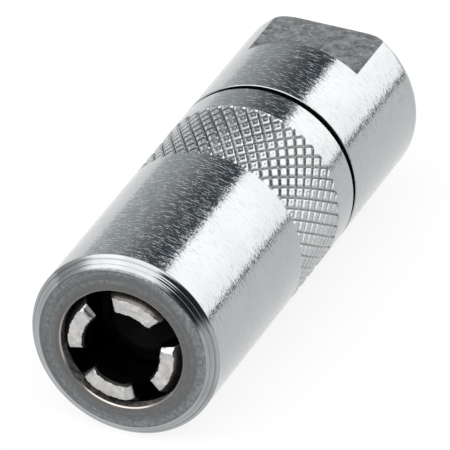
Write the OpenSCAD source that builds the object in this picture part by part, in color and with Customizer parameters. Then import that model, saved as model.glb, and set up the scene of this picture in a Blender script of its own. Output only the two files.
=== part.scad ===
// Hydraulic grease coupler with four sprung jaws. All sizes are in millimetres.
// The coupler lies along Y. The inlet mouth is centred on the origin and faces +Y,
// the nose with the jaws faces -Y, and the two wrench flats face +Z and -Z.

/* [Rear body] */
// Outside diameter of the rear body and of the sleeve
body_d = 15; // [14.4:0.1:18]
// Length of the rear body at its full diameter
rear_len = 13.5; // [12.5:0.1:17]
// Chamfer round the inlet end
rear_chamfer = 0.7; // [0.2:0.05:1]
// Broken edge on both sides of the joint between rear body and sleeve
edge_break = 0.2; // [0.05:0.05:0.3]
// Length of the spigot's threaded part
spigot_len = 8; // [6:0.5:9]
// Wall of the spigot's nose, which guides the jaw spring
nose_wall = 0.8; // [0.6:0.05:1]
// Length of the spigot's nose
nose_len = 7; // [6:0.1:7.8]

/* [Wrench flats] */
// Distance across the two wrench flats
flat_af = 12; // [11:0.1:13.5]
// Length of the flats from the inlet end
flat_len = 6.3; // [4:0.1:10]

/* [Inlet] */
// Core diameter of the inlet thread
inlet_d = 8.92; // [8.4:0.01:9.4]
// Depth of the inlet thread
inlet_depth = 8.5; // [7:0.1:9.2]
// Countersink at the inlet mouth
inlet_chamfer = 0.4; // [0.2:0.05:0.6]
// Point angle of the drill that made the inlet
drill_point = 118; // [90:1:140]

/* [Sleeve] */
// Gap between the rear body's shoulder and the sleeve
joint_gap = 0.6; // [0.3:0.05:0.7]
// Length of the sleeve
sleeve_len = 27.9; // [26:0.1:32]
// Wall of the sleeve
sleeve_wall = 1.55; // [1.3:0.05:1.7]
// Depth of the jaw cone, from the sleeve's bore in to the mouth
cone_depth = 1.1; // [0.7:0.05:1.3]
// Length of the parallel mouth ahead of the jaw cone
mouth_land = 0.95; // [0.6:0.05:1.3]
// Broken edge round the mouth
mouth_chamfer = 0.14; // [0.05:0.01:0.25]
// Half angle of the cone that closes the jaws
cone_angle = 15; // [12:0.5:18]
// Width of the bevel round the nose
nose_bevel = 0.95; // [0.6:0.05:1.2]
// Length of the bevel round the nose
nose_bevel_len = 0.75; // [0.5:0.05:1.2]
// Rise of the nose face from its rim to the mouth
nose_rise = 0.15; // [0:0.05:0.3]

/* [Jaws] */
// Width of each jaw round the axis, in degrees
jaw_span = 61; // [50:1:66]
// Angle of the first jaw round the axis, in degrees
jaw_start = 75; // [0:1:89]
// Length of the jaws
jaw_len = 6.5; // [6:0.1:7.5]
// How far the closed jaws stand out of the nose
jaw_proud = 0.1; // [0:0.05:0.2]
// Diameter between the closed jaw lips
lip_d = 5.9; // [5.6:0.05:6.3]
// Thickness of the jaw lips along the axis
lip_len = 1.3; // [1:0.05:1.6]
// Chamfer at the front of the jaw lips
lip_chamfer = 0.2; // [0.1:0.05:0.3]
// Width of the bevel round the front of the jaws
jaw_bevel = 0.6; // [0.4:0.05:0.9]
// Diameter inside the jaws behind their lips
jaw_bore_d = 8; // [7.8:0.05:8.4]
// Rearward travel of the jaws as they open
jaw_travel = 1.5; // [1:0.1:1.8]
// Thickness of the ring that pushes the jaws
thrust_t = 1.2; // [0.8:0.1:1.6]
// Bore of the ring that pushes the jaws
thrust_bore_d = 8.4; // [8:0.05:8.8]

/* [Piston and seal] */
// Length of the piston's tail in the chamber
tail_len = 3.6; // [3:0.1:4.2]
// Diameter of the piston's stem
stem_d = 5.2; // [4.8:0.1:5.4]
// Diameter of the piston's head
head_d = 7.5; // [7.2:0.05:7.6]
// Length of the piston's head
head_len = 3.6; // [3:0.1:4]
// Bore through the piston and the seal
piston_bore_d = 1.8; // [1.2:0.1:2.2]
// Diameter of the seal
seal_d = 6.1; // [5.6:0.05:6.3]
// Thickness of the seal
seal_t = 2.4; // [2:0.1:2.8]
// Depth of the seal's seat in the piston head
seal_seat = 1.6; // [1.2:0.05:1.9]
// Diameter of the hollow in the seal that takes the nipple's dome
seal_cup_d = 4.6; // [4:0.1:5]
// Distance from the front of the jaws back to the seal
grip_depth = 4.7; // [4.2:0.1:5.2]
// Section of the piston's O-ring
piston_ring_w = 0.85; // [0.7:0.05:1]
// Thickness of the retaining ring in the nose
clip_t = 0.6; // [0.5:0.05:0.8]
// Depth of the retaining ring's groove
clip_groove = 0.35; // [0.25:0.05:0.4]
// Opening in the retaining ring, in degrees
clip_gap = 50; // [30:1:80]
// Wall ahead of the retaining ring's groove
clip_wall = 0.8; // [0.6:0.05:1.2]

/* [Check valve] */
// Diameter of the check ball
ball_d = 4; // [3.6:0.1:4.4]
// Diameter of the passage that the ball closes
passage_d = 2.6; // [2:0.1:2.8]
// Length of the passage that the ball closes
passage_len = 1; // [0.6:0.1:1.4]
// Diameter of the valve chamber round the ball
valve_d = 5.2; // [4.8:0.1:5.6]
// Length of the check spring at rest
check_spring_len = 2.6; // [2.2:0.1:3]
// Thickness of the spring seat between the two chambers
seat_t = 1; // [0.8:0.1:1.4]
// Hole through the spring seat
seat_bore_d = 2; // [1.4:0.1:2.4]

/* [Springs] */
// Wire of the jaw spring
jaw_wire = 0.9; // [0.7:0.05:1]
// Turns of the jaw spring
jaw_turns = 7; // [5:0.5:8]
// Wire of the piston spring
piston_wire = 0.5; // [0.4:0.05:0.6]
// Turns of the piston spring
piston_turns = 5; // [4:0.5:6]
// Wire of the check spring
check_wire = 0.35; // [0.25:0.05:0.4]
// Turns of the check spring
check_turns = 4.5; // [4:0.5:5]

/* [Fits] */
// Clearance inside and outside the jaw spring
spring_gap = 0.325; // [0.2:0.005:0.4]
// Radial clearance of screwed and sliding fits
slide_fit = 0.05; // [0.02:0.01:0.08]
// Clearance round seals, rings and springs at their seats
seat_fit = 0.02; // [0.01:0.01:0.05]
// Clearance between the closed jaws and their cone
jaw_fit = 0.05; // [0.03:0.01:0.08]
// Section of the O-ring in the joint behind the sleeve
joint_ring_w = 0.8; // [0.6:0.05:0.9]

/* [Hidden] */
jaw_count = 4;
$fn = 96;
over = 1;  // how far a cutter reaches past the face that it opens

// Radii
body_r = body_d / 2;
bore_r = body_r - sleeve_wall;
spigot_r = bore_r - slide_fit;
nose_r = bore_r - jaw_wire - 2 * spring_gap;
inlet_r = inlet_d / 2;
mouth_r = bore_r - cone_depth;
face_r = body_r - nose_bevel;
lip_r = lip_d / 2;
jaw_bore_r = jaw_bore_d / 2;
jaw_tail_r = bore_r - jaw_travel * tan(cone_angle) - jaw_fit;
jaw_cone_r = mouth_r - jaw_fit;
jaw_face_r = jaw_cone_r - jaw_bevel;
chamber_r = nose_r - nose_wall;
tail_r = chamber_r - slide_fit;
stem_r = stem_d / 2;
head_r = head_d / 2;
clip_r = chamber_r + clip_groove;
ball_r = ball_d / 2;
passage_r = passage_d / 2;
valve_r = valve_d / 2;
ring_pocket_r = spigot_r + joint_ring_w + 2 * seat_fit;

// Places along the axis, from the inlet face towards the nose
thread_end = rear_len + spigot_len;
nose_end = thread_end + nose_len;
sleeve_start = rear_len + joint_gap;
ring_pocket_end = rear_len + joint_ring_w + 2 * seat_fit;
nose_face = sleeve_start + sleeve_len;
cone_end = nose_face - mouth_land;
cone_start = cone_end - (bore_r - mouth_r) / tan(cone_angle);
bevel_start = nose_face - nose_rise - nose_bevel_len;
jaw_front = nose_face + jaw_proud;
jaw_back = jaw_front - jaw_len;
thrust_back = jaw_back - thrust_t;
seal_front = jaw_front - grip_depth;
head_front = seal_front - seal_t + seal_seat;
head_back = head_front - head_len;
clip_front = nose_end - clip_wall;
clip_back = clip_front - clip_t - 2 * seat_fit;
tail_front = clip_back - seat_fit;
tail_back = tail_front - tail_len;
inlet_tip = inlet_depth + (inlet_r - passage_r) / tan(drill_point / 2);
valve_seat = inlet_tip + passage_len;
valve_cone_end = valve_seat + valve_r - passage_r;
ball_centre = valve_seat - passage_r + ball_r * sqrt(2) + seat_fit;
check_spring_r = ball_r * sin(45);
check_wire_gap = ball_r + check_wire / 2;  // from the ball's centre to the wire that rests on it
check_spring_back = ball_centre + sqrt(check_wire_gap ^ 2 - check_spring_r ^ 2) - check_wire / 2;
shoulder = check_spring_back + check_spring_len;
seat_front = shoulder + seat_t;

// Turns what is modelled along +Z, with its flats towards +Y, into the coupler's own frame
module lying() {
    rotate([90, 0, 0]) children();
}

// A solid of revolution from points given as [radius, place along the axis]
module turned(points, sweep = 360) {
    rotate_extrude(angle = sweep) polygon(points);
}

// An O-ring of section w that lies round radius r, with its back at z
module o_ring(r, w, z) {
    translate([0, 0, z + w / 2]) rotate_extrude() translate([r + w / 2, 0]) circle(d = w, $fn = 32);
}

// Height of a coil spring's wire after t turns: closed end turns, then an even pitch
function coil_z(t, turns, rise, wire) =
    let (closed = 0.9, pitch = wire * 1.1)
    t < closed ? t * pitch :
    t > turns - closed ? rise - (turns - t) * pitch :
    closed * pitch + (t - closed) / (turns - 2 * closed) * (rise - 2 * closed * pitch);

// A coil spring between two seats, swept round its mean radius
module coil_spring(back, front, mean_r, wire, turns, steps = 20, sides = 8) {
    rise = front - back - wire - 2 * seat_fit;
    rings = turns * steps;
    points = [
        for (i = [0:rings], j = [0:sides - 1])
            let (
                t = i / steps,
                turn = 360 * t,
                side = 360 * j / sides,
                r = mean_r + wire / 2 * cos(side)
            )
            [
                r * cos(turn),
                r * sin(turn),
                back + seat_fit + wire / 2 + coil_z(t, turns, rise, wire) + wire / 2 * sin(side)
            ]
    ];
    walls = [
        for (i = [0:rings - 1], j = [0:sides - 1])
            let (k = (j + 1) % sides)
            [i * sides + j, i * sides + k, (i + 1) * sides + k, (i + 1) * sides + j]
    ];
    first_end = [for (j = [sides - 1:-1:0]) j];
    last_end = [for (j = [0:sides - 1]) rings * sides + j];
    polyhedron(points, concat([first_end], walls, [last_end]), convexity = 10);
}

// Rear body: inlet, check valve seat, piston chamber and the spigot that the sleeve screws on to
module rear_body() {
    color("silver") lying() difference() {
        turned([
            [inlet_r + inlet_chamfer, 0],
            [body_r - rear_chamfer, 0],
            [body_r, rear_chamfer],
            [body_r, rear_len - edge_break],
            [body_r - edge_break, rear_len],
            [spigot_r, rear_len],
            [spigot_r, thread_end - edge_break],
            [spigot_r - edge_break, thread_end],
            [nose_r, thread_end],
            [nose_r, nose_end - edge_break],
            [nose_r - edge_break, nose_end],
            [chamber_r, nose_end],
            [chamber_r, clip_front],
            [clip_r, clip_front],
            [clip_r, clip_back],
            [chamber_r, clip_back],
            [chamber_r, shoulder],
            [valve_r, shoulder],
            [valve_r, valve_cone_end],
            [passage_r, valve_seat],
            [passage_r, inlet_tip],
            [inlet_r, inlet_depth],
            [inlet_r, inlet_chamfer]
        ]);
        for (side = [0, 180])
            rotate([0, 0, side])
                translate([-body_r - over, flat_af / 2, -over])
                    cube([body_d + 2 * over, body_r, flat_len + over]);
    }
}

// Sleeve: screws on to the spigot, and its cone closes the jaws
module front_sleeve() {
    color("gainsboro") lying() turned([
        [ring_pocket_r, sleeve_start],
        [body_r - edge_break, sleeve_start],
        [body_r, sleeve_start + edge_break],
        [body_r, bevel_start],
        [face_r, nose_face - nose_rise],
        [mouth_r + mouth_chamfer, nose_face],
        [mouth_r, nose_face - mouth_chamfer],
        [mouth_r, cone_end],
        [bore_r, cone_start],
        [bore_r, ring_pocket_end],
        [ring_pocket_r, ring_pocket_end]
    ]);
}

// O-ring in the joint between rear body and sleeve
module joint_ring() {
    color("dimgray") lying() o_ring(spigot_r + seat_fit, joint_ring_w, rear_len + seat_fit);
}

// One jaw: a lip that grips the nipple, and a cone that slides in the sleeve
module jaw(number) {
    lip_back = jaw_front - lip_len;
    cone_back = cone_end - (jaw_tail_r - jaw_cone_r) / tan(cone_angle);
    color("lightgray") lying()
        rotate([0, 0, jaw_start + 360 / jaw_count * (number - 1) - jaw_span / 2])
            turned([
                [lip_r + lip_chamfer, jaw_front],
                [jaw_face_r, jaw_front],
                [jaw_cone_r, cone_end],
                [jaw_tail_r, cone_back],
                [jaw_tail_r, jaw_back],
                [jaw_bore_r, jaw_back],
                [jaw_bore_r, lip_back - (jaw_bore_r - lip_r)],
                [lip_r, lip_back],
                [lip_r, jaw_front - lip_chamfer]
            ], jaw_span);
}

module jaw_1() { jaw(1); }
module jaw_2() { jaw(2); }
module jaw_3() { jaw(3); }
module jaw_4() { jaw(4); }

// Ring between the jaw spring and the jaws
module thrust_ring() {
    color("darkgray") lying() turned([
        [thrust_bore_d / 2, thrust_back],
        [bore_r - slide_fit, thrust_back],
        [bore_r - slide_fit, jaw_back - edge_break],
        [bore_r - slide_fit - edge_break, jaw_back],
        [thrust_bore_d / 2, jaw_back]
    ]);
}

// Spring that holds the jaws forward in their cone
module jaw_spring() {
    color("gray") lying()
        coil_spring(thread_end, thrust_back, (nose_r + bore_r) / 2, jaw_wire, jaw_turns);
}

// Hollow piston: its tail seals in the spigot, and its head carries the nipple seal
module piston() {
    groove_r = tail_r - piston_ring_w + slide_fit - seat_fit;
    groove_mid = (tail_back + tail_front) / 2;
    groove_half = piston_ring_w / 2 + seat_fit;
    bore = piston_bore_d / 2;
    color("darkgray") lying() turned([
        [bore, tail_back],
        [tail_r - edge_break, tail_back],
        [tail_r, tail_back + edge_break],
        [tail_r, groove_mid - groove_half],
        [groove_r, groove_mid - groove_half],
        [groove_r, groove_mid + groove_half],
        [tail_r, groove_mid + groove_half],
        [tail_r, tail_front],
        [stem_r, tail_front],
        [stem_r, head_back],
        [head_r - edge_break, head_back],
        [head_r, head_back + edge_break],
        [head_r, head_front],
        [seal_d / 2 + seat_fit, head_front],
        [seal_d / 2 + seat_fit, head_front - seal_seat],
        [bore, head_front - seal_seat]
    ]);
}

// O-ring in the groove of the piston's tail
module piston_o_ring() {
    middle = (tail_back + tail_front) / 2;
    color("black") lying()
        o_ring(chamber_r - seat_fit - piston_ring_w, piston_ring_w, middle - piston_ring_w / 2);
}

// Rubber seal with a hollow for the nipple's dome
module nipple_seal() {
    back = seal_front - seal_t;
    rim = (seal_d - seal_cup_d) / 4;
    bore = piston_bore_d / 2;
    color("black") lying() turned([
        [bore, back + seat_fit],
        [seal_d / 2, back + seat_fit],
        [seal_d / 2, seal_front - rim],
        [seal_d / 2 - rim, seal_front],
        [seal_cup_d / 2, seal_front],
        [bore, seal_front - (seal_cup_d / 2 - bore) / 2]
    ]);
}

// Spring that holds the piston forward
module piston_spring() {
    color("gray") lying()
        coil_spring(
            seat_front, tail_back, chamber_r - slide_fit - piston_wire, piston_wire, piston_turns, 16, 6
        );
}

// Open retaining ring that keeps the piston in the spigot
module retaining_ring() {
    color("gray") lying()
        rotate([0, 0, clip_gap / 2])
            turned([
                [stem_r + clip_groove, clip_back + seat_fit],
                [clip_r - seat_fit, clip_back + seat_fit],
                [clip_r - seat_fit, clip_front - seat_fit],
                [stem_r + clip_groove, clip_front - seat_fit]
            ], 360 - clip_gap);
}

// Ball that stops the grease from coming back
module check_ball() {
    color("lightgray") lying() translate([0, 0, ball_centre]) sphere(ball_r);
}

// Spring that holds the check ball on its seat
module check_spring() {
    color("gray") lying()
        coil_spring(check_spring_back, shoulder, check_spring_r, check_wire, check_turns, 14, 6);
}

// Washer that the check spring and the piston spring push against from both sides
module spring_seat() {
    color("darkgray") lying() turned([
        [seat_bore_d / 2, shoulder + seat_fit],
        [chamber_r - slide_fit, shoulder + seat_fit],
        [chamber_r - slide_fit, seat_front - seat_fit],
        [seat_bore_d / 2, seat_front - seat_fit]
    ]);
}

rear_body();
front_sleeve();
joint_ring();
jaw_1();
jaw_2();
jaw_3();
jaw_4();
thrust_ring();
jaw_spring();
piston();
piston_o_ring();
nipple_seal();
piston_spring();
retaining_ring();
check_ball();
check_spring();
spring_seat();
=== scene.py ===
"""Looks of the grease coupler: plated, turned steel with a knurl, black seals and hardened jaws."""

import math

import bmesh
import bpy
import numpy as np
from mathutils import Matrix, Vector


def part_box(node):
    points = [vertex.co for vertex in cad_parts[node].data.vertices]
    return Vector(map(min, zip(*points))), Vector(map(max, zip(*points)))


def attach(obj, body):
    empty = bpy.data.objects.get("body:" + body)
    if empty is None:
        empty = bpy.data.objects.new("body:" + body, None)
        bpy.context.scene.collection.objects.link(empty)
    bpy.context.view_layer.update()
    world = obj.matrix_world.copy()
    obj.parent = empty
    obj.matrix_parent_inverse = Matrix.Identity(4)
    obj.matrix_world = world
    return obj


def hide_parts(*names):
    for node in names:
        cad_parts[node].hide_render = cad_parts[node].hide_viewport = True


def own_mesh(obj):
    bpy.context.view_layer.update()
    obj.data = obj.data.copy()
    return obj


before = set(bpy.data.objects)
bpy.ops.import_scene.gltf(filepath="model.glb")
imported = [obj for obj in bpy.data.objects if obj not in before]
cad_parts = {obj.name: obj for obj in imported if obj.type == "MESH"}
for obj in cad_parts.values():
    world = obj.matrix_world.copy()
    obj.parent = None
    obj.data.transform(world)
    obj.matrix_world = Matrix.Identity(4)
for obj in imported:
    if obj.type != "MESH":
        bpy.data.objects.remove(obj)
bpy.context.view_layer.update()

MM = 0.001


def along(node):
    """Where a CAD node starts and ends, in millimetres from the inlet face towards the nose."""
    low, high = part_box(node)
    return -high.y / MM, -low.y / MM


# Sizes from the frame, in millimetres
BODY_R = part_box("rear_body")[1].x / MM
SLEEVE_START, NOSE_FACE = along("front_sleeve")
NOSE_END = along("rear_body")[1]
JAW_BACK, JAW_FRONT = along("jaw_1")
SEAL_BACK, SEAL_FRONT = along("nipple_seal")
THRUST_BACK = along("thrust_ring")[0]
SHOULDER, SEAT_FRONT = along("spring_seat")
TAIL_BACK = along("piston")[0]
CHECK_BACK, CHECK_FRONT = along("check_spring")
SPIGOT_END = along("jaw_spring")[0]

# Rear body, in millimetres
REAR_LEN = 13.5
REAR_ROUND = 0.95
FLAT_HALF = 6.0
FLAT_LEN = 6.3
FLAT_OVERRUN = 4.0
FLAT_CUT_WIDTH = 4 * BODY_R
SPIGOT_R = 5.9
SPIGOT_CHAMFER = 0.2
UNDERCUT_R = SPIGOT_R - 0.45
UNDERCUT_END = REAR_LEN + 0.5
NOSE_R = 4.4
CHAMBER_R = 3.6
CLIP_R = 3.95
CLIP_BACK, CLIP_FRONT = 27.06, 27.7
VALVE_R = 2.6
VALVE_SEAT = 11.4
PASSAGE_R = 1.3
PASSAGE_START = VALVE_SEAT - 1.0
INLET_R = 4.46
INLET_RIM_R = INLET_R + 0.55
INLET_DEPTH = 8.5

# Sleeve, in millimetres
BORE_R = 5.95
MOUTH_R = 4.85
MOUTH_LAND = 0.95
MOUTH_EDGE = 0.1
CONE_START = 36.945
CONE_END = NOSE_FACE - MOUTH_LAND
FACE_R = 6.55
FACE_RISE = 0.15
BEVEL_LEN = 0.75
BEVEL_START = NOSE_FACE - FACE_RISE - BEVEL_LEN
RING_POCKET_R, RING_POCKET_END = 6.74, 14.34

# Turning rings: on the bevel, places from its outer edge and depths, and on the face, a ripple that beats
BEVEL_PLACES = (0, 0.05, 0.09, 0.22, 0.28, 0.34, 0.38, 0.46, 0.51, 0.56, 0.61, 0.67, 0.71, 0.75)
BEVEL_DEPTHS = (0, 0.004, 0, 0.028, 0.004, 0.014, 0.004, 0.024, 0.002, 0.008, 0, 0.016, 0, 0)
FACE_RIPPLE = 0.005
FACE_RING = 0.21
FACE_BEAT = 9

# Knurl: two families of grooves, one each way round, and a slight hollow in the top of each diamond
KNURL_STARTS = 46
KNURL_LEAD = 1.67
KNURL_BACK, KNURL_FRONT = 17.0, 24.8
KNURL_DEPTH = 0.15
KNURL_HALF_GROOVE = 0.19
KNURL_HOLLOW = 0.035
KNURL_HALF_HOLLOW = 0.24
KNURL_STEPS = 14
KNURL_RUNOUT = 0.14

# Threads of inlet and spigot, with a share of the flank cut off at crest and root
THREAD_PITCH = 1.0
THREAD_DEPTH = 0.5
THREAD_STEP = 0.1
THREAD_FLAT = 0.125
THREAD_RUNOUT = 0.5 * THREAD_PITCH
INLET_THREAD_START = 0.4
SPIGOT_THREAD_START = REAR_LEN + 0.6

# Jaws: span and start in degrees, the sloping ends' lengths in radians, the rest in millimetres
JAW_COUNT = 4
JAW_SPAN = 61
JAW_START = 75
JAW_STATIONS = 21
LIP_R = 2.95
LIP_LEN = 1.3
LIP_CHAMFER = 0.2
JAW_BORE_R = 4.0
JAW_FACE_R = 4.2
JAW_CONE_R = 4.8
JAW_TAIL_R = 5.498
JAW_CONE_BACK = 38.445
JAW_END_LEN = math.radians(9)
JAW_END_DROP = 0.45
JAW_KNEE_LEN = 0.4 * JAW_END_LEN
JAW_KNEE_DROP = 0.35 * JAW_END_DROP
JAW_ROUND = 0.07
JAW_ROUND_STEPS = 3
JAW_ROUND_ANGLE = math.radians(25)
JAW_WEAR = 0.05
WEAR_WAVES = (17, 41)
WEAR_SHIFTS = (2.3, 1)

# How far a jaw face's normal leans before the face counts as inside, behind, at an end or on the bevel
LEAN_INSIDE = -0.35
LEAN_BEHIND = -0.3
LEAN_LEVEL = 0.3
LEAN_END = 0.25
LEAN_END_LEVEL = 0.4
LEAN_BEVEL = 0.5

# Seal, in millimetres
SEAL_R = 3.05
SEAL_RIM = 0.375
SEAL_CUP_R = 2.3
SEAL_CUP_DEPTH = 0.7
SEAL_BORE_R = 0.9

# Springs: closed turns at each end, and their pitch in wire thicknesses
CLOSED_TURNS = 0.9
CLOSED_PITCH = 1.1
COIL_STEPS = 48
WIRE_SIDES = 14

# Meshes of turned pieces: even rows where a zone has relief, else a row close to each end of a straight run
ZONE_STEP = {
    "knurl": KNURL_LEAD / KNURL_STEPS,
    "inlet_thread": THREAD_STEP,
    "spigot_thread": THREAD_STEP,
    "bevel": 0.016,
    "face": 0.03,
}
INWARD_ZONES = ("inlet_thread",)
SUPPORT = 0.05
ROUND_STEPS = 6
ROUND_SHARE = 0.45
NEARLY_STRAIGHT = 0.02
SLEEVE_COLUMNS = KNURL_STARTS * KNURL_STEPS
BODY_COLUMNS = 240
SEAL_COLUMNS = 96
SHARP_ANGLE = 32
WIRE_SHARP_ANGLE = 40

# Plating: its streaks and grain in marks to a metre, and the streaks' grey and depth as a share of the grain
STREAK_AROUND = 1500.0
STREAK_ACROSS = 5200.0
STREAK_GREY = 0.36
STREAK_DEPTH = 0.9
GRAIN_SCALE = 4200.0

# Turned metal: how far marks change its roughness, and the share of a groove's depth where its painted shade
# starts
TURNED_SMOOTHER, TURNED_ROUGHER = 0.04, 0.06
GROOVE_SHADE_START = 0.3

# Milled flat: heights in metres of its tears and grain, how far grain changes its roughness, and its specks
MILL_TEAR = 60e-6
MILL_GRAIN = 12e-6
MILL_METALLIC = 0.65
MILL_SMOOTHER, MILL_ROUGHER = 0.08, 0.1
SPECK_GREY = 0.45
SPECK_STRENGTH = 0.8

# Rubber: height of its grain in metres, and roughness from low to high
RUBBER_GRAIN = 6e-6
RUBBER_ROUGHNESS = (0.45, 0.65)

# Tints: how much less red and more blue cool grey has
COOL_RED, COOL_BLUE = 0.042, 0.022

# Tints of the studio's light: below DEEP_SKY clearly bluish, below DIM_SKY cool, and above it a little warm
DEEP_SKY, DIM_SKY = 0.06, 0.35
DEEP_RED, DEEP_BLUE = 0.8, 1.15
BRIGHT_WARMTH = 0.015

# Floor: half its width and its place in metres, its grey, and how much of its white comes from its own glow
FLOOR_HALF = 30.0
FLOOR_LEVEL = -BODY_R * MM
FLOOR_GREY = 0.94
FLOOR_GLOW = 0.85

# Studio light by the turn about the axis, in degrees from the right over the top: stops of (turn, level)
HALF_TURN = 180
STUDIO_LEVEL = 2.1
WALL_STOPS = [
    (0, 0.03), (4, 0.03), (6, 0.9), (40, 1.05), (75, 1.08), (78, 0.045), (97, 0.045), (107, 0.07),
    (119, 0.12), (140, 0.225), (180, 0.32)]
BOX_STOPS = [(0, 0.2), (5, 0.25), (50, 0.25), (60, 1.32), (148, 1.32), (159, 0.4), (180, 0.25)]
DARK_STOPS = [(0, 0.3), (8, 0.02), (180, 0.02)]
MIDDLE_LEVEL = 0.25
GLINT_LEVEL = 0.95
GLINT_TURN = (75.0, 79.0)
WALL_SLANT = (0.12, -0.12)
BOX_EDGE = (95.0, 42.0)
BOX_EDGE_BLUR = (-6.0, 6.0)

# Studio light by how far a direction points backwards: where one light gives way to the next
BOX_EDGE_RUN = (-0.95, -0.55)
DARK_TO_BOX = (-0.52, -0.46)
BOX_TO_MIDDLE = (-0.2, -0.06)
MIDDLE_TO_WALL = (0.2, 0.4)
GLINT_START = (0.56, 0.62)
GLINT_END = (0.69, 0.76)
WALL_SLANT_RUN = (0.7, 0.91)

# Camera, fitted to the photograph: places and lens in millimetres, roll about the part's axis
CAMERA_PLACE = (226.99, -583.81, 347.57)
CAMERA_FORWARD = (-0.3247, 0.8043, -0.4976)
CAMERA_UP = (-0.1863, 0.4614, 0.8674)
CAMERA_ROLL = math.radians(2.0)
CAMERA_LENS = 741.2
CAMERA_SENSOR = 36.0
CAMERA_CLIP = (0.01, 100.0)


# Shapes

def link_object(name, data):
    """A new object in the scene, around a mesh or a camera."""
    piece = bpy.data.objects.new(name, data)
    bpy.context.scene.collection.objects.link(piece)
    return piece


def corner_arc(before, corner, after):
    """Points that round a corner (radius, place, rounding, zone) between its neighbours."""
    here = np.array(corner[:2])
    back = np.array(before[:2]) - here
    ahead = np.array(after[:2]) - here
    back_len, ahead_len = np.linalg.norm(back), np.linalg.norm(ahead)
    back, ahead = back / back_len, ahead / ahead_len
    turn = math.acos(max(-1.0, min(1.0, float(back @ ahead))))
    rounding = corner[2]
    if rounding <= 0 or turn > math.pi - NEARLY_STRAIGHT:
        return [tuple(here)]
    reach = min(rounding / math.tan(turn / 2), ROUND_SHARE * back_len, ROUND_SHARE * ahead_len)
    size = reach * math.tan(turn / 2)
    middle = (back + ahead) / np.linalg.norm(back + ahead)
    centre = here + middle * size / math.sin(turn / 2)
    start = math.atan2(*(here + back * reach - centre)[::-1])
    end = math.atan2(*(here + ahead * reach - centre)[::-1])
    sweep = (end - start + math.pi) % (2 * math.pi) - math.pi
    angles = [start + sweep * k / ROUND_STEPS for k in range(ROUND_STEPS + 1)]
    return [(centre[0] + size * math.cos(a), centre[1] + size * math.sin(a)) for a in angles]


def straight_rows(a, b, zone):
    """Rows between a and b: even steps where the zone has relief, else one close to each end."""
    length = math.dist(a, b)
    shares = []
    if zone in ZONE_STEP:
        pieces = max(1, round(length / ZONE_STEP[zone]))
        shares = [k / pieces for k in range(1, pieces)]
    elif length > 4 * SUPPORT:
        shares = [SUPPORT / length, 1 - SUPPORT / length]
    return [(a[0] + (b[0] - a[0]) * t, a[1] + (b[1] - a[1]) * t, zone) for t in shares]


def rounded(corners):
    """Rows (radius, place, zone) round a closed section of corners (radius, place, rounding, zone)."""
    count = len(corners)
    arcs = [corner_arc(corners[i - 1], corner, corners[(i + 1) % count]) for i, corner in enumerate(corners)]
    rows = []
    for i, arc in enumerate(arcs):
        zone = corners[i][3]
        rows += [(r, z, zone) for r, z in arc]
        rows += straight_rows(arc[-1], arcs[(i + 1) % count][0], zone)
    return rows


def groove(phase, half):
    """Depth from 0 to 1 of a V groove that comes once a period."""
    return np.clip(1 - np.abs(phase - np.round(phase)) / half, 0, 1)


def knurl_relief(theta, z):
    """Depth of the knurl below the sleeve's skin."""
    turn = theta / (2 * math.pi) * KNURL_STARTS
    rise = (z - KNURL_BACK) / KNURL_LEAD
    right, left = turn + rise, turn - rise
    depth = KNURL_DEPTH * np.maximum(groove(right, KNURL_HALF_GROOVE), groove(left, KNURL_HALF_GROOVE))
    diamond = np.minimum(groove(right + 0.5, KNURL_HALF_HOLLOW), groove(left + 0.5, KNURL_HALF_HOLLOW))
    ends = min(z - KNURL_BACK, KNURL_FRONT - z) / KNURL_RUNOUT
    return (depth + KNURL_HOLLOW * diamond) * min(1.0, max(0.0, ends))


def thread_relief(theta, z, low, high):
    """Depth of a right-handed V thread that runs out at both ends."""
    phase = z / THREAD_PITCH - theta / (2 * math.pi)
    wave = 2 * np.abs(phase - np.round(phase))
    depth = THREAD_DEPTH * np.clip((1 + 2 * THREAD_FLAT) * wave - THREAD_FLAT, 0, 1)
    ends = min(z - low, high - z) / THREAD_RUNOUT
    return depth * min(1.0, max(0.0, ends))


def relief(zone, theta, z):
    """How far a zone's surface is cut into the metal."""
    if zone == "knurl":
        return knurl_relief(theta, z)
    if zone == "inlet_thread":
        return thread_relief(theta, z, INLET_THREAD_START, INLET_DEPTH)
    if zone == "spigot_thread":
        return thread_relief(theta, z, SPIGOT_THREAD_START, SPIGOT_END)
    if zone == "bevel":
        return np.full_like(theta, np.interp(z - BEVEL_START, BEVEL_PLACES, BEVEL_DEPTHS))
    return np.zeros_like(theta)


def lathe(name, rows, columns, materials):
    """A closed mesh turned from rows of (radius, place, zone). Materials go by zone."""
    theta = np.arange(columns) * (2 * math.pi / columns)
    names = list(dict.fromkeys(materials.values()))
    verts, depth = [], []
    for r, z, zone in rows:
        cut = relief(zone, theta, z)
        if zone == "face":
            z -= FACE_RIPPLE * (1 + math.sin(2 * math.pi * r / FACE_RING) * math.sin(FACE_BEAT * r))
        radius = r + cut if zone in INWARD_ZONES else r - cut
        verts.append(np.stack([radius * np.cos(theta), np.full(columns, -z), radius * np.sin(theta)], 1))
        depth.append(cut)
    faces, slots = [], []
    for i, row in enumerate(rows):
        j = (i + 1) % len(rows)
        for k in range(columns):
            m = (k + 1) % columns
            faces.append((i * columns + k, i * columns + m, j * columns + m, j * columns + k))
            slots.append(names.index(materials[row[2]]))
    mesh = bpy.data.meshes.new(name)
    mesh.from_pydata((np.concatenate(verts) * MM).tolist(), [], faces)
    mesh.update()
    mesh.polygons.foreach_set("material_index", slots)
    attribute = mesh.attributes.new("relief", "FLOAT", "POINT")
    attribute.data.foreach_set("value", np.concatenate(depth).astype(np.float32))
    for material in names:
        mesh.materials.append(LOOK[material])
    piece = link_object(name, mesh)
    face_outward(mesh)
    smooth(mesh)
    return piece


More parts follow.
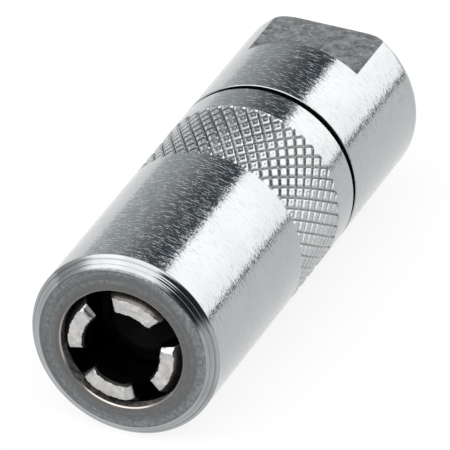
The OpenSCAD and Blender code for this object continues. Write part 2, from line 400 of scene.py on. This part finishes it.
def on_axis(r, turn, z):
    """A point at a radius, a turn about the axis and a place along it."""
    return (r * math.cos(turn), -z, r * math.sin(turn))


def loft(name, rings):
    """A closed mesh through rings of points in millimetres, with a flat cap at each end."""
    bm = bmesh.new()
    rows = [[bm.verts.new(Vector(point) * MM) for point in ring] for ring in rings]
    count = len(rows[0])
    for a, b in zip(rows, rows[1:]):
        for i in range(count):
            j = (i + 1) % count
            bm.faces.new((a[i], b[i], b[j], a[j]))
    bm.faces.new(rows[0])
    bm.faces.new(list(reversed(rows[-1])))
    bmesh.ops.recalc_face_normals(bm, faces=bm.faces)
    mesh = bpy.data.meshes.new(name)
    bm.to_mesh(mesh)
    bm.free()
    face_outward(mesh)
    return mesh


def face_outward(mesh):
    """Turn all faces of a closed mesh round if they look inwards."""
    bm = bmesh.new()
    bm.from_mesh(mesh)
    if bm.calc_volume(signed=True) < 0:
        bmesh.ops.reverse_faces(bm, faces=bm.faces)
    bm.to_mesh(mesh)
    bm.free()


def smooth(mesh, sharp_angle=SHARP_ANGLE):
    """Smooth shading, apart from edges sharper than an angle in degrees."""
    mesh.polygons.foreach_set("use_smooth", [True] * len(mesh.polygons))
    mesh.set_sharp_from_angle(angle=math.radians(sharp_angle))
    mesh.update()


def apply_modifiers(piece):
    """Make the result of a piece's modifiers its own mesh."""
    view = bpy.context.evaluated_depsgraph_get()
    mesh = bpy.data.meshes.new_from_object(piece.evaluated_get(view))
    piece.modifiers.clear()
    piece.data = mesh


def dress(piece, body, slot, *nodes):
    """Say which body a piece rides on and the CAD nodes that it replaces. The slot is not used."""
    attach(piece, body)
    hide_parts(*nodes)


# Materials

class Nodes:
    """A material's or the world's node tree, with short calls to add and join nodes."""

    def __init__(self, owner):
        owner.use_nodes = True
        self.tree = owner.node_tree
        self.tree.nodes.clear()

    def add(self, kind, **settings):
        node = self.tree.nodes.new(kind)
        for key, value in settings.items():
            setattr(node, key, value)
        return node

    def put(self, socket, value):
        if isinstance(value, bpy.types.NodeSocket):
            self.tree.links.new(value, socket)
        else:
            socket.default_value = value

    def calc(self, operation, a, b=0.0):
        node = self.add("ShaderNodeMath", operation=operation)
        self.put(node.inputs[0], a)
        self.put(node.inputs[1], b)
        return node.outputs[0]

    def split(self, vector):
        node = self.add("ShaderNodeSeparateXYZ")
        self.put(node.inputs[0], vector)
        return node.outputs

    def combine(self, x, y, z):
        node = self.add("ShaderNodeCombineXYZ")
        for socket, value in zip(node.inputs, (x, y, z)):
            self.put(socket, value)
        return node.outputs[0]

    def noise(self, vector, scale, detail, rough):
        node = self.add("ShaderNodeTexNoise")
        self.put(node.inputs["Vector"], vector)
        node.inputs["Scale"].default_value = scale
        node.inputs["Detail"].default_value = detail
        node.inputs["Roughness"].default_value = rough
        return node.outputs["Fac"]

    def spread(self, value, low, high, start=0.0, end=1.0):
        """From low where the value is at start, to high where it is at end."""
        node = self.add("ShaderNodeMapRange")
        for socket, setting in zip(node.inputs, (value, start, end, low, high)):
            self.put(socket, setting)
        return node.outputs["Result"]

    def share(self, value, start, end):
        """From 0 where the value is at start, to 1 where it is at end."""
        return self.spread(value, 0.0, 1.0, start, end)

    def mix(self, factor, a, b):
        node = self.add("ShaderNodeMix", data_type="RGBA")
        self.put(node.inputs["Factor"], factor)
        self.put(node.inputs["A"], a)
        self.put(node.inputs["B"], b)
        return node.outputs["Result"]

    def bump(self, height, distance, normal=None):
        node = self.add("ShaderNodeBump")
        node.inputs["Distance"].default_value = distance
        self.put(node.inputs["Height"], height)
        if normal is not None:
            self.put(node.inputs["Normal"], normal)
        return node.outputs["Normal"]

    def principled(self, **sockets):
        node = self.add("ShaderNodeBsdfPrincipled")
        for key, value in sockets.items():
            self.put(node.inputs[key.replace("_", " ")], value)
        self.finish("ShaderNodeOutputMaterial", node)

    def finish(self, kind, shader):
        self.put(self.add(kind).inputs["Surface"], shader.outputs[0])


LOOK = {}


def new_look(name):
    """An empty material, kept under a name that the frame's own materials don't share."""
    LOOK[name] = bpy.data.materials.new("look_" + name)
    return Nodes(LOOK[name])


def grey(level, warm=0.0):
    """A grey with more red and less blue by the share that is warm."""
    return (level * (1 + warm), level, level * (1 - warm), 1.0)


def cool(level, tint=1.0):
    """A bluish grey, as bright zinc plating has."""
    return (level * (1 - COOL_RED * tint), level, level * (1 + COOL_BLUE * tint), 1.0)


def sky(level):
    """Light of the studio: bluish where it is dark, a little warm where it is bright."""
    if level < DEEP_SKY:
        return (level * DEEP_RED, level, level * DEEP_BLUE, 1.0)
    return cool(level) if level < DIM_SKY else grey(level, warm=BRIGHT_WARMTH)


def turned_metal(name, light, dark, roughness, marks, across=4200.0, around=800.0, cloud=260.0, metallic=1.0,
                 grain=0.0, groove_shade=None, groove_depth=KNURL_DEPTH, mouth=None, rings=0.0):
    """Metal with fine marks that run round the axis, as a lathe leaves them, and clouds of tarnish.

    Marks and grain are heights in metres. Across, around and cloud are counts to a metre. Groove shade is
    the painted shade colour at the bottom of the relief, mouth the colour near the mouth, and rings how dark
    the marks are.
    """
    nodes = new_look(name)
    place = nodes.add("ShaderNodeTexCoord").outputs["Object"]
    x, y, z = nodes.split(place)
    square = nodes.calc("ADD", nodes.calc("MULTIPLY", x, x), nodes.calc("MULTIPLY", z, z))
    radius = nodes.calc("SQRT", square)
    run = nodes.calc("MULTIPLY", nodes.calc("SUBTRACT", y, radius), across)
    turned = nodes.combine(nodes.calc("MULTIPLY", x, around), run, nodes.calc("MULTIPLY", z, around))
    lines = nodes.noise(turned, scale=1.0, detail=2.0, rough=0.6)
    clouds = nodes.noise(place, scale=cloud, detail=3.0, rough=0.6)
    colour = nodes.mix(nodes.share(clouds, start=0.3, end=0.7), dark, light)
    if rings:
        colour = nodes.mix(nodes.spread(lines, 0.0, rings, start=0.42, end=0.62), colour, dark)
    # Painted shade: the colour darkens towards the bottom of the relief
    if groove_shade:
        depth = nodes.add("ShaderNodeAttribute", attribute_name="relief").outputs["Fac"]
        groove_shade_share = nodes.share(depth, start=GROOVE_SHADE_START * groove_depth, end=groove_depth)
        colour = nodes.mix(groove_shade_share, colour, groove_shade)
    if mouth:
        colour = nodes.mix(nodes.share(radius, start=MOUTH_R * MM, end=FACE_R * MM), mouth, colour)
    normal = nodes.bump(lines, marks)
    if grain:
        streaked = nodes.combine(
            nodes.calc("MULTIPLY", x, STREAK_AROUND), nodes.calc("MULTIPLY", y, STREAK_ACROSS),
            nodes.calc("MULTIPLY", z, STREAK_AROUND))
        pits = nodes.share(nodes.noise(streaked, scale=1.0, detail=2.0, rough=0.6), start=0.54, end=0.7)
        colour = nodes.mix(pits, colour, cool(STREAK_GREY))
        normal = nodes.bump(pits, STREAK_DEPTH * grain, normal)
        normal = nodes.bump(nodes.noise(place, scale=GRAIN_SCALE, detail=1.0, rough=0.5), grain, normal)
    nodes.principled(
        Base_Color=colour, Metallic=metallic, Normal=normal,
        Roughness=nodes.spread(
            lines, roughness - TURNED_SMOOTHER, roughness + TURNED_ROUGHER, start=0.3, end=0.7))


def milled_metal(name, light, dark, roughness):
    """Flat cut by a mill: mottled, with bright specks where the cutter tore the metal."""
    nodes = new_look(name)
    place = nodes.add("ShaderNodeTexCoord").outputs["Object"]
    fine = nodes.noise(place, scale=GRAIN_SCALE, detail=3.0, rough=0.7)
    clouds = nodes.noise(place, scale=1300.0, detail=5.0, rough=0.8)
    specks = nodes.noise(place, scale=2300.0, detail=2.0, rough=0.6)
    colour = nodes.mix(nodes.share(clouds, start=0.35, end=0.65), dark, light)
    bright = nodes.spread(specks, 0.0, SPECK_STRENGTH, start=0.6, end=0.72)
    colour = nodes.mix(bright, colour, grey(SPECK_GREY))
    nodes.principled(
        Base_Color=colour, Metallic=MILL_METALLIC,
        Normal=nodes.bump(clouds, MILL_TEAR, nodes.bump(fine, MILL_GRAIN)),
        Roughness=nodes.spread(fine, roughness - MILL_SMOOTHER, roughness + MILL_ROUGHER))


def rubber(name, light, dark, gloss):
    """Moulded rubber with a fine grain and a little dust."""
    nodes = new_look(name)
    place = nodes.add("ShaderNodeTexCoord").outputs["Object"]
    grain = nodes.noise(place, scale=3000.0, detail=3.0, rough=0.6)
    dust = nodes.noise(place, scale=500.0, detail=4.0, rough=0.6)
    nodes.principled(
        Base_Color=nodes.mix(nodes.share(dust, start=0.4, end=0.8), grey(dark), grey(light)),
        Specular_IOR_Level=gloss, Roughness=nodes.spread(grain, *RUBBER_ROUGHNESS),
        Normal=nodes.bump(grain, RUBBER_GRAIN))


turned_metal("plated_steel", cool(0.44), cool(0.41), roughness=0.09, marks=12e-6, grain=7e-6)
# The knurl's grooves get a painted shade at their bottoms
turned_metal(
    "knurled_steel", cool(0.47), cool(0.42), roughness=0.2, marks=8e-6, grain=4e-6, groove_shade=grey(0.057))
# The nose face's grey is set well below the plating's, a painted darker reflection of what lies in front of
# it, and it fades to a dark grey towards the mouth; its turning rings and clouds are its own
turned_metal(
    "nose_face_shaded_steel", cool(0.32, tint=2.0), cool(0.135, tint=2.0), roughness=0.26, marks=40e-6, around=90.0,
    cloud=3200.0, mouth=grey(0.133, warm=0.03), rings=0.8)
# The bevel's turning grooves get a painted shade at their bottoms
turned_metal(
    "nose_bevel_steel", cool(0.43), cool(0.3), roughness=0.1, marks=12e-6, across=5200.0, around=160.0,
    groove_shade=cool(0.195), groove_depth=max(BEVEL_DEPTHS), rings=0.6)
turned_metal("mouth_edge_steel", grey(0.425, warm=0.05), grey(0.3, warm=0.06), roughness=0.2, marks=4e-6)
turned_metal(
    "land_steel", grey(0.214, warm=0.02), grey(0.01, warm=0.02), roughness=0.4, marks=30e-6, across=2200.0,
    around=1600.0, cloud=2400.0, metallic=0.1)
# The bores are near black, a painted shade deep inside the part
turned_metal("shaded_bore_steel", grey(0.019, warm=0.05), grey(0.01, warm=0.08), roughness=0.5, marks=12e-6)
turned_metal("inlet_steel", grey(0.238, warm=0.02), grey(0.181, warm=0.03), roughness=0.3, marks=8e-6)
turned_metal(
    "jaw_steel", grey(0.53, warm=0.01), grey(0.33, warm=0.02), roughness=0.4, marks=50e-6, across=1800.0,
    around=1500.0, cloud=2600.0, metallic=0.35)
# A jaw's outer flank is a darker copy of the jaw's steel, a painted shade between the jaw and the mouth
turned_metal(
    "jaw_flank_shaded_steel", grey(0.153, warm=0.03), grey(0.117, warm=0.05), roughness=0.34, marks=10e-6,
    across=2500.0, around=900.0)
turned_metal(
    "jaw_edge_steel", grey(0.52), grey(0.4), roughness=0.2, marks=40e-6, across=1500.0, around=1500.0,
    cloud=1400.0)
# Near black, a painted shade on faces inside the part: the jaws' inner and rear faces, the thrust ring and
# the piston
turned_metal("shaded_inner_steel", grey(0.029, warm=0.03), grey(0.014, warm=0.03), roughness=0.4, marks=5e-6)
turned_metal("plain_steel", grey(0.238), grey(0.2), roughness=0.3, marks=5e-6)
turned_metal("ball_steel", grey(0.333), grey(0.314), roughness=0.1, marks=1e-6)
turned_metal("spring_wire", grey(0.2), grey(0.162), roughness=0.3, marks=4e-6, across=1500.0, around=1500.0)
milled_metal("milled_steel", cool(0.34), cool(0.085), roughness=0.46)
rubber("black_rubber", light=0.02, dark=0.008, gloss=0.2)
# The seal's rubber is a darker copy of the black rubber, a painted shade deep in the mouth
rubber("shaded_seal_rubber", light=0.006, dark=0.003, gloss=0.06)

ZONE_MATERIAL = {
    "skin": "plated_steel",
    "knurl": "knurled_steel",
    "face": "nose_face_shaded_steel",
    "bevel": "nose_bevel_steel",
    "mouth_edge": "mouth_edge_steel",
    "land": "land_steel",
    # Inside the bores: near-black painted shade
    "inside": "shaded_bore_steel",
    "inlet": "inlet_steel",
    "inlet_thread": "inlet_steel",
    "spigot_thread": "plain_steel",
    "spigot": "plain_steel",
}
JAW_MATERIALS = ("jaw_steel", "jaw_flank_shaded_steel", "shaded_inner_steel", "jaw_edge_steel")
NODE_MATERIAL = {
    "joint_ring": "black_rubber",
    "piston_o_ring": "black_rubber",
    "thrust_ring": "shaded_inner_steel",
    "piston": "shaded_inner_steel",
    "retaining_ring": "spring_wire",
    "check_ball": "ball_steel",
    "spring_seat": "plain_steel",
}


# Pieces. A section's corners are (radius, place, rounding, zone that starts there).

def make_sleeve():
    corners = [
        (RING_POCKET_R, SLEEVE_START, 0.05, "skin"),
        (BODY_R, SLEEVE_START, 0.06, "skin"),
        (BODY_R, KNURL_BACK, 0, "knurl"),
        (BODY_R, KNURL_FRONT, 0, "skin"),
        (BODY_R, BEVEL_START, 0.1, "bevel"),
        (FACE_R, NOSE_FACE - FACE_RISE, 0.5, "face"),
        (MOUTH_R + MOUTH_EDGE, NOSE_FACE, 0.04, "mouth_edge"),
        (MOUTH_R, NOSE_FACE - MOUTH_EDGE, 0.04, "land"),
        (MOUTH_R, CONE_END, 0, "inside"),
        (BORE_R, CONE_START, 0, "inside"),
        (BORE_R, RING_POCKET_END, 0, "inside"),
        (RING_POCKET_R, RING_POCKET_END, 0, "inside"),
    ]
    piece = lathe("sleeve_shell", rounded(corners), SLEEVE_COLUMNS, ZONE_MATERIAL)
    dress(piece, "sleeve", "plated_steel", "front_sleeve")


def flat_cutter(side):
    """A block that cuts the wrench flat above the axis, or below it where side is -1."""
    bm = bmesh.new()
    bmesh.ops.create_cube(bm, size=1.0)
    for vert in bm.verts:
        x, y, z = vert.co
        vert.co = Vector((
            x * FLAT_CUT_WIDTH,
            FLAT_OVERRUN - (y + 0.5) * (FLAT_LEN + FLAT_OVERRUN),
            side * (FLAT_HALF + (0.5 + side * z) * BODY_R),
        )) * MM
    mesh = bpy.data.meshes.new("flat_cutter")
    bm.to_mesh(mesh)
    bm.free()
    face_outward(mesh)
    mesh.materials.append(LOOK["milled_steel"])
    return link_object("flat_cutter", mesh)


def make_rear_body():
    corners = [
        (INLET_RIM_R, 0, 0.05, "skin"),
        (BODY_R, 0, REAR_ROUND, "skin"),
        (BODY_R, REAR_LEN, 0.08, "skin"),
        (UNDERCUT_R, REAR_LEN, 0, "spigot"),
        (UNDERCUT_R, UNDERCUT_END, 0, "spigot"),
        (SPIGOT_R, SPIGOT_THREAD_START, 0, "spigot_thread"),
        (SPIGOT_R, SPIGOT_END - SPIGOT_CHAMFER, 0, "spigot"),
        (SPIGOT_R - SPIGOT_CHAMFER, SPIGOT_END, 0, "spigot"),
        (NOSE_R, SPIGOT_END, 0, "spigot"),
        (NOSE_R, NOSE_END, 0.15, "spigot"),
        (CHAMBER_R, NOSE_END, 0.05, "inside"),
        (CHAMBER_R, CLIP_FRONT, 0, "inside"),
        (CLIP_R, CLIP_FRONT, 0, "inside"),
        (CLIP_R, CLIP_BACK, 0, "inside"),
        (CHAMBER_R, CLIP_BACK, 0, "inside"),
        (CHAMBER_R, SHOULDER, 0, "inside"),
        (VALVE_R, SHOULDER, 0, "inside"),
        (VALVE_R, VALVE_SEAT + VALVE_R - PASSAGE_R, 0, "inside"),
        (PASSAGE_R, VALVE_SEAT, 0, "inside"),
        (PASSAGE_R, PASSAGE_START, 0, "inlet"),
        (INLET_R, INLET_DEPTH, 0, "inlet_thread"),
        (INLET_R, INLET_THREAD_START, 0, "inlet"),
    ]
    piece = lathe("body_shell", rounded(corners), BODY_COLUMNS, ZONE_MATERIAL)
    cutters = [flat_cutter(side) for side in (1, -1)]
    for cutter in cutters:
        cut = piece.modifiers.new("flat", "BOOLEAN")
        cut.operation = "DIFFERENCE"
        cut.solver = "EXACT"
        cut.object = cutter
        cut.material_mode = "TRANSFER"
    apply_modifiers(piece)
    for cutter in cutters:
        bpy.data.objects.remove(cutter)
    smooth(piece.data)
    dress(piece, "rear_body", "plated_steel", "rear_body")


def jaw_material(face):
    """Which of a jaw's materials a face has: light in front, painted shade on the flank, inside and behind,
    bright ends.
    """
    middle, normal = face.center / MM, face.normal
    radius = math.hypot(middle.x, middle.z)
    outward = (normal.x * middle.x + normal.z * middle.z) / radius
    sideways = abs(normal.x * middle.z - normal.z * middle.x) / radius
    inside = outward < LEAN_INSIDE
    behind = normal.y > LEAN_BEHIND and abs(outward) < LEAN_LEVEL
    # Faces inside and behind get the near-black painted shade, and the outer flank a darker painted shade
    if inside or behind:
        return "shaded_inner_steel"
    if sideways > LEAN_END and abs(outward) < LEAN_END_LEVEL:
        return "jaw_edge_steel"
    return "jaw_flank_shaded_steel" if outward > LEAN_BEVEL else "jaw_steel"


def jaw_section(front, wear):
    """Points (radius, place) round a jaw's section, with its front end and wear at one station."""
    lip_back = JAW_FRONT - LIP_LEN
    return [
        (LIP_R + LIP_CHAMFER + wear, front),
        (JAW_FACE_R - wear, front),
        (JAW_CONE_R, CONE_END),
        (JAW_TAIL_R, JAW_CONE_BACK),
        (JAW_TAIL_R, JAW_BACK),
        (JAW_BORE_R, JAW_BACK),
        (JAW_BORE_R, lip_back - (JAW_BORE_R - LIP_R)),
        (LIP_R, lip_back),
        (LIP_R, front - LIP_CHAMFER),
    ]


def jaw_wear(number, turn):
    """How far wear has eaten into the front of a jaw, different on each of the four."""
    slow, fast = (math.sin(wave * turn + shift * number) for wave, shift in zip(WEAR_WAVES, WEAR_SHIFTS))
    return JAW_WEAR * slow * fast


def make_jaw(number):
    middle = math.radians(JAW_START + 360 / JAW_COUNT * (number - 1))
    half = math.radians(JAW_SPAN / 2)
    inner = np.linspace(-half + JAW_END_LEN, half - JAW_END_LEN, JAW_STATIONS)
    ends = [(half, JAW_END_DROP), (half - JAW_KNEE_LEN, JAW_KNEE_DROP)]
    stations = [(-turn, drop) for turn, drop in ends] + [(turn, 0) for turn in inner] + ends[::-1]
    rings = []
    for turn, drop in stations:
        section = jaw_section(JAW_FRONT - drop, jaw_wear(number, turn))
        rings.append([on_axis(r, middle + turn, z) for r, z in section])
    mesh = loft(f"jaw_form_{number}", rings)
    for material in JAW_MATERIALS:
        mesh.materials.append(LOOK[material])
    for face in mesh.polygons:
        face.material_index = JAW_MATERIALS.index(jaw_material(face))
    piece = link_object(f"jaw_form_{number}", mesh)
    bevel = piece.modifiers.new("edges", "BEVEL")
    bevel.width = JAW_ROUND * MM
    bevel.segments = JAW_ROUND_STEPS
    bevel.limit_method = "ANGLE"
    bevel.angle_limit = JAW_ROUND_ANGLE
    apply_modifiers(piece)
    smooth(piece.data)
    dress(piece, f"jaw_{number}", "jaw_steel", f"jaw_{number}")


def make_seal():
    corners = [
        (SEAL_BORE_R, SEAL_BACK, 0.08, "rubber"),
        (SEAL_R, SEAL_BACK, 0.1, "rubber"),
        (SEAL_R, SEAL_FRONT - SEAL_RIM, 0.15, "rubber"),
        (SEAL_R - SEAL_RIM, SEAL_FRONT, 0.15, "rubber"),
        (SEAL_CUP_R, SEAL_FRONT, 0.12, "rubber"),
        (SEAL_BORE_R, SEAL_FRONT - SEAL_CUP_DEPTH, 0.12, "rubber"),
    ]
    # The seal gets the darker rubber, a painted shade deep in the mouth
    piece = lathe("nipple_seal_form", rounded(corners), SEAL_COLUMNS, {"rubber": "shaded_seal_rubber"})
    dress(piece, "piston", "black_rubber", "nipple_seal")


def coil_height(t, turns, rise, wire):
    """Height of the wire after t turns: closed end turns, and an even pitch between them."""
    pitch = wire * CLOSED_PITCH
    closed_rise = CLOSED_TURNS * pitch
    if t < CLOSED_TURNS:
        return t * pitch
    if t > turns - CLOSED_TURNS:
        return rise - (turns - t) * pitch
    return closed_rise + (t - CLOSED_TURNS) / (turns - 2 * CLOSED_TURNS) * (rise - 2 * closed_rise)


def make_spring(node, back, front, mean_r, wire, turns):
    """A coil between two places along the axis."""
    rise = front - back - wire
    rings = []
    for i in range(round(turns * COIL_STEPS) + 1):
        t = i / COIL_STEPS
        z = back + wire / 2 + coil_height(t, turns, rise, wire)
        ring = []
        for j in range(WIRE_SIDES):
            s = 2 * math.pi * j / WIRE_SIDES
            r = mean_r + wire / 2 * math.cos(s)
            ring.append(on_axis(r, 2 * math.pi * t, z + wire / 2 * math.sin(s)))
        rings.append(ring)
    mesh = loft(node + "_wire", rings)
    mesh.materials.append(LOOK["spring_wire"])
    smooth(mesh, WIRE_SHARP_ANGLE)
    piece = link_object(node + "_wire", mesh)
    dress(piece, "rear_body", "spring_steel", node)
    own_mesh(piece)


make_sleeve()
make_rear_body()
for jaw_number in range(1, JAW_COUNT + 1):
    make_jaw(jaw_number)
make_seal()
make_spring(
    "jaw_spring", SPIGOT_END, THRUST_BACK, mean_r=5.175, wire=0.9, turns=7)
make_spring(
    "piston_spring", SEAT_FRONT, TAIL_BACK, mean_r=3.05, wire=0.5, turns=5)
make_spring(
    "check_spring", CHECK_BACK, CHECK_FRONT, mean_r=1.414, wire=0.35, turns=4.5)
for node_name, material_name in NODE_MATERIAL.items():
    node_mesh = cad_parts[node_name].data
    node_mesh.materials.clear()
    node_mesh.materials.append(LOOK[material_name])


# Floor, light and camera

def make_floor():
    """A pale floor that keeps the shadow, and that camera, glossy and transmission rays see as white."""
    sides = ((-1, -1), (1, -1), (1, 1), (-1, 1))
    corners = [(x * FLOOR_HALF, y * FLOOR_HALF, FLOOR_LEVEL) for x, y in sides]
    mesh = bpy.data.meshes.new("floor")
    mesh.from_pydata(corners, [], [(0, 1, 2, 3)])
    floor = link_object("floor", mesh)
    material = bpy.data.materials.new("floor")
    nodes = Nodes(material)
    matt = nodes.add("ShaderNodeBsdfDiffuse")
    matt.inputs["Color"].default_value = grey(FLOOR_GREY)
    glow = nodes.add("ShaderNodeEmission")
    glow.inputs["Color"].default_value = grey(1.0)
    glow.inputs["Strength"].default_value = 1.0
    path = nodes.add("ShaderNodeLightPath")
    seen = nodes.calc("MAXIMUM", path.outputs["Is Camera Ray"], path.outputs["Is Transmission Ray"])
    seen = nodes.calc("MAXIMUM", seen, path.outputs["Is Glossy Ray"])
    surface = nodes.add("ShaderNodeMixShader")
    nodes.put(surface.inputs[0], nodes.calc("MULTIPLY", seen, FLOOR_GLOW))
    nodes.put(surface.inputs[1], matt.outputs[0])
    nodes.put(surface.inputs[2], glow.outputs[0])
    nodes.finish("ShaderNodeOutputMaterial", surface)
    mesh.materials.append(material)


def ramp(nodes, angle, stops):
    """Light by angle in degrees, from stops of (angle, level)."""
    node = nodes.add("ShaderNodeValToRGB")
    elements = node.color_ramp.elements
    while len(elements) < len(stops):
        elements.new(0.5)
    for element, (place, level) in zip(elements, stops):
        element.position = place / HALF_TURN
        element.color = sky(level)
    nodes.put(node.inputs[0], nodes.calc("DIVIDE", angle, HALF_TURN))
    return node.outputs["Color"]


def make_world():
    """A studio of plain gradients, the same for every kind of ray.

    Behind the part a wall of light stands on the right, with dark above it, grey on the left and a glint in
    the dark that lights the streaks. A soft box hangs over the front, with dark below its slanting edge.
    """
    world = bpy.data.worlds.new("studio")
    bpy.context.scene.world = world
    nodes = Nodes(world)
    x, y, z = nodes.split(nodes.add("ShaderNodeTexCoord").outputs["Generated"])
    turn = nodes.calc("DEGREES", nodes.calc("ARCTAN2", z, x))
    slant = nodes.calc("MULTIPLY", nodes.spread(y, *WALL_SLANT, *WALL_SLANT_RUN), turn)
    slanted = nodes.calc("ADD", turn, slant)
    glint = nodes.calc("MULTIPLY", nodes.share(y, *GLINT_START), nodes.spread(y, 1.0, 0.0, *GLINT_END))
    glint = nodes.calc("MULTIPLY", glint, nodes.share(slanted, *GLINT_TURN))
    wall = nodes.mix(glint, ramp(nodes, slanted, WALL_STOPS), grey(GLINT_LEVEL))
    box = ramp(nodes, turn, BOX_STOPS)
    edge = nodes.spread(y, *BOX_EDGE, *BOX_EDGE_RUN)
    above = nodes.share(nodes.calc("SUBTRACT", turn, edge), *BOX_EDGE_BLUR)
    front = nodes.mix(above, ramp(nodes, turn, DARK_STOPS), box)
    light = nodes.mix(nodes.share(y, *DARK_TO_BOX), front, box)
    light = nodes.mix(nodes.share(y, *BOX_TO_MIDDLE), light, sky(MIDDLE_LEVEL))
    light = nodes.mix(nodes.share(y, *MIDDLE_TO_WALL), light, wall)
    background = nodes.add("ShaderNodeBackground")
    nodes.put(background.inputs["Color"], light)
    background.inputs["Strength"].default_value = STUDIO_LEVEL
    nodes.finish("ShaderNodeOutputWorld", background)


def rolled(x, y, z):
    """A vector turned about the part's axis by the camera's roll."""
    c, s = math.cos(CAMERA_ROLL), math.sin(CAMERA_ROLL)
    return Vector((x * c - z * s, y, x * s + z * c))


def make_camera():
    """The photograph's viewpoint: a long lens from in front, to the right and above."""
    place = rolled(*CAMERA_PLACE)
    forward = rolled(*CAMERA_FORWARD).normalized()
    right = forward.cross(rolled(*CAMERA_UP).normalized()).normalized()
    up = right.cross(forward)
    data = bpy.data.cameras.new("camera")
    data.lens = CAMERA_LENS
    data.sensor_width = CAMERA_SENSOR
    data.clip_start, data.clip_end = CAMERA_CLIP
    camera = link_object("camera", data)
    matrix = camera.matrix_world.copy()
    for i in range(3):
        matrix[i] = (right[i], up[i], -forward[i], place[i] * MM)
    camera.matrix_world = matrix
    bpy.context.scene.camera = camera


make_floor()
make_world()
make_camera()
bpy.context.scene.view_settings.view_transform = "Standard"
